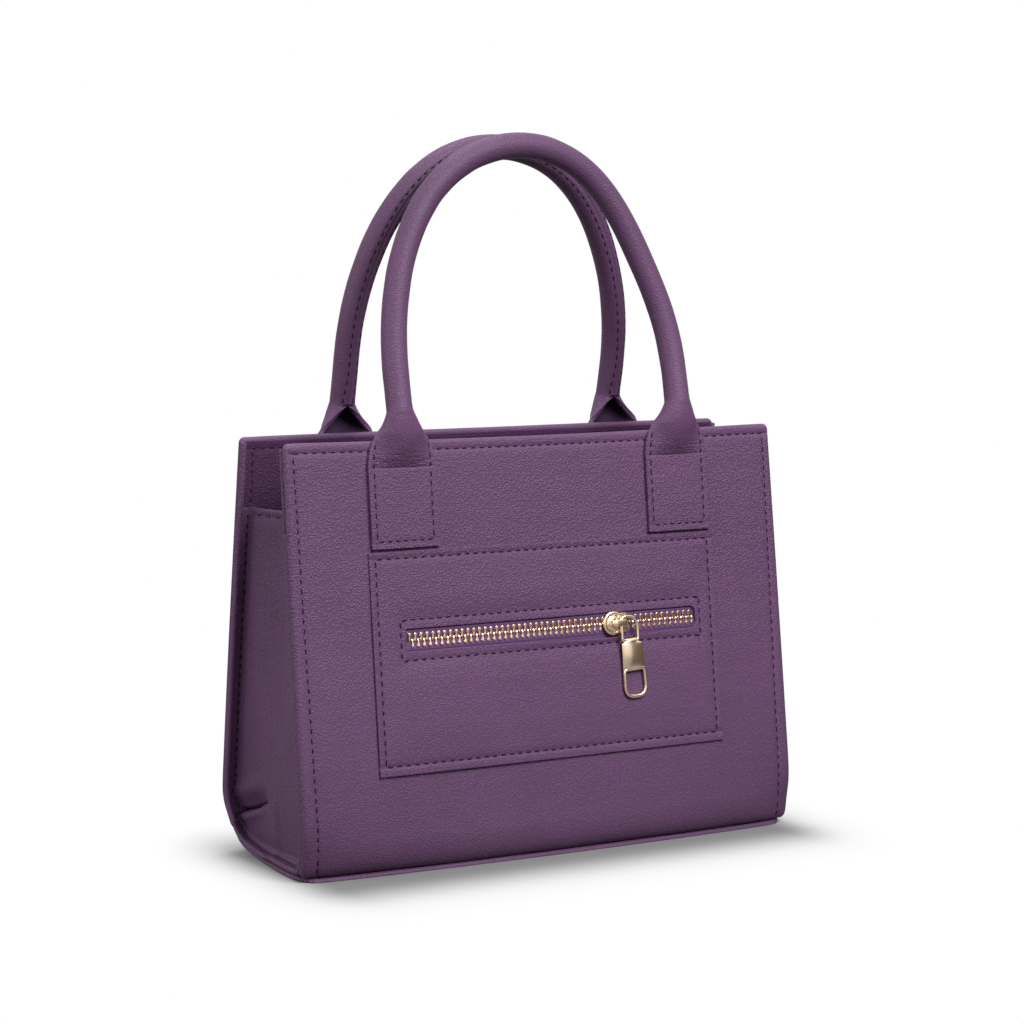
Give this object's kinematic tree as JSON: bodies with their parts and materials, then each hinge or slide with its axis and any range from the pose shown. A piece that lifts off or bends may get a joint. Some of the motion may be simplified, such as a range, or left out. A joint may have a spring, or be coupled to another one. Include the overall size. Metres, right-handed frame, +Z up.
{
  "type": "top handle bag",
  "caption": "Small structured top handle bag with two rolled handles, recessed side gussets and a zipped patch pocket on the front.",
  "frame": {"origin": "on the ground at the middle of the base", "axes": "+Z up, +Y from the pocket face to the back, +X to the right seen from the front"},
  "size_m": [0.214, 0.0712, 0.2701],
  "materials": {
    "purple_leather": "pebbled, satin",
    "inner_leather": "pebbled, satin",
    "board": "matt",
    "lining_cloth": "plain weave",
    "zipper_tape": "woven",
    "light_gold_metal": "polished, light gold",
    "snap_metal": "satin",
    "handle_cord": "twisted cotton"
  },
  "bodies": {
    "bag": {"front_panel": "purple_leather", "back_panel": "purple_leather", "bottom_panel": "purple_leather", "left_gusset": "purple_leather", "right_gusset": "purple_leather", "front_board": "board", "back_board": "board", "base_board": "board", "front_facing": "inner_leather", "back_facing": "inner_leather", "front_lining": "lining_cloth", "back_lining": "lining_cloth", "left_lining": "lining_cloth", "right_lining": "lining_cloth", "pocket_patch": "purple_leather", "pocket_bag": "lining_cloth", "zipper_tape_upper": "zipper_tape", "zipper_tape_lower": "zipper_tape", "zipper_teeth_upper": "light_gold_metal", "zipper_teeth_lower": "light_gold_metal", "zipper_end_stops": "light_gold_metal", "front_handle_tab_left": "purple_leather", "front_handle_tab_right": "purple_leather", "back_handle_tab_left": "purple_leather", "back_handle_tab_right": "purple_leather", "snap_stud_half": "snap_metal", "snap_socket_half": "snap_metal"},
    "slider": {"zipper_slider": "light_gold_metal"},
    "bail": {"pull_bail": "light_gold_metal"},
    "pull": {"pull_tab": "light_gold_metal"},
    "front_handle": {"front_handle_roll": "purple_leather", "front_handle_cord": "handle_cord"},
    "back_handle": {"back_handle_roll": "purple_leather", "back_handle_cord": "handle_cord"}
  },
  "joints": [
    {"name": "slider_slide", "type": "slide", "parent": "bag", "child": "slider", "axis": [1, 0, 0], "range_m": [-0.084, 0.03]},
    {"name": "bail_swing", "type": "hinge", "parent": "slider", "child": "bail", "pos_m": [0.0304, -0.03156, 0.08535], "axis": [0, -0.1032, -0.9947], "range_deg": [0, 90]},
    {"name": "pull_lift", "type": "hinge", "parent": "bail", "child": "pull", "pos_m": [0.03425, -0.03227, 0.07851], "axis": [-1, 0, 0], "range_deg": [0, 100]},
    {"name": "front_handle_fold", "type": "hinge", "parent": "bag", "child": "front_handle", "pos_m": [0, -0.02324, 0.14816], "axis": [1, 0, 0], "range_deg": [-2, 115]},
    {"name": "back_handle_fold", "type": "hinge", "parent": "bag", "child": "back_handle", "pos_m": [0, 0.02324, 0.14816], "axis": [-1, 0, 0], "range_deg": [-2, 115]}
  ]
}
